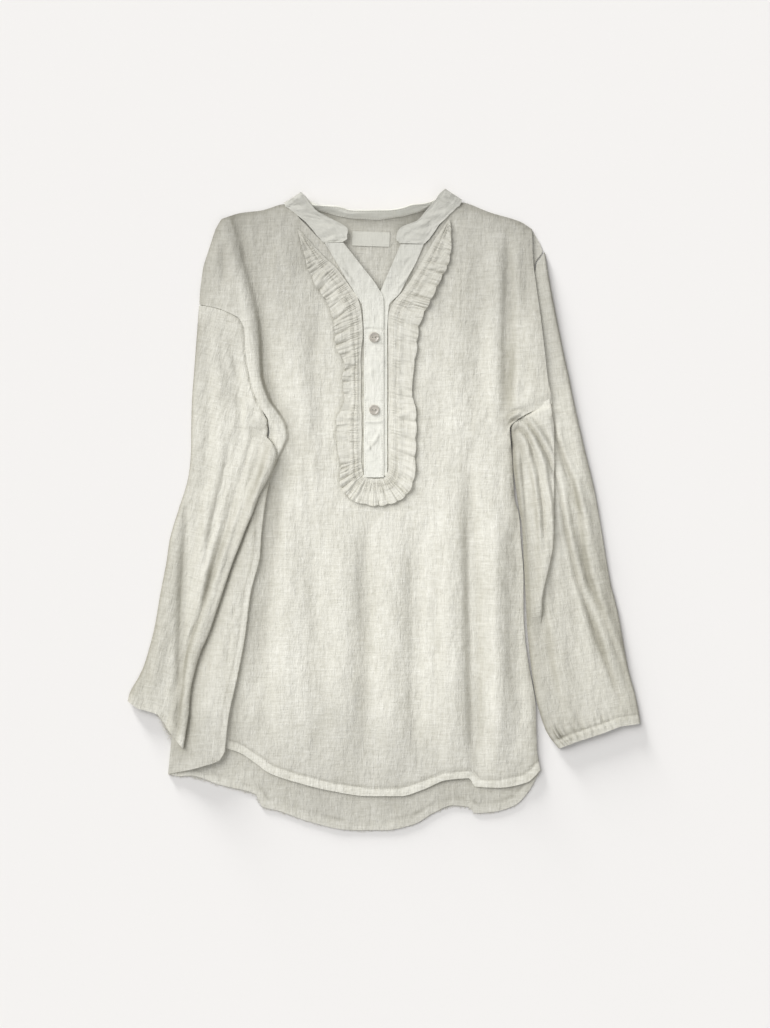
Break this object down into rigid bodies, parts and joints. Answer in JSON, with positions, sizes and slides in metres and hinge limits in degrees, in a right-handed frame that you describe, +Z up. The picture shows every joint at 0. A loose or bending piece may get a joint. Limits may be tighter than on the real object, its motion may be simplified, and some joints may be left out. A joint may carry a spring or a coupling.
{
  "type": "smock blouse",
  "caption": "Long-sleeved linen smock blouse laid flat, with a stand collar and a ruffled, buttoned half placket.",
  "frame": {"origin": "middle of the garment's outline, on the surface that it lies on", "axes": "+Z up, out of the garment's front; +Y towards the neck; +X to the viewer's right"},
  "size_m": [0.6022, 0.752, 0.017],
  "materials": {
    "linen": "washed slubby natural linen, matte with a soft sheen",
    "linen_band": "the same linen, doubled and pressed, a shade lighter",
    "shell": "satin shell-like button",
    "tape": "matte woven tape, blank"
  },
  "bodies": {
    "root": {"back": "linen", "front": "linen", "sleeve_left": "linen", "sleeve_right": "linen", "collar_band": "linen_band", "placket_under": "linen_band", "placket_over": "linen_band", "ruffle": "linen", "button_lower": "shell", "button_upper": "shell", "neck_label": "tape"}
  },
  "joints": []
}
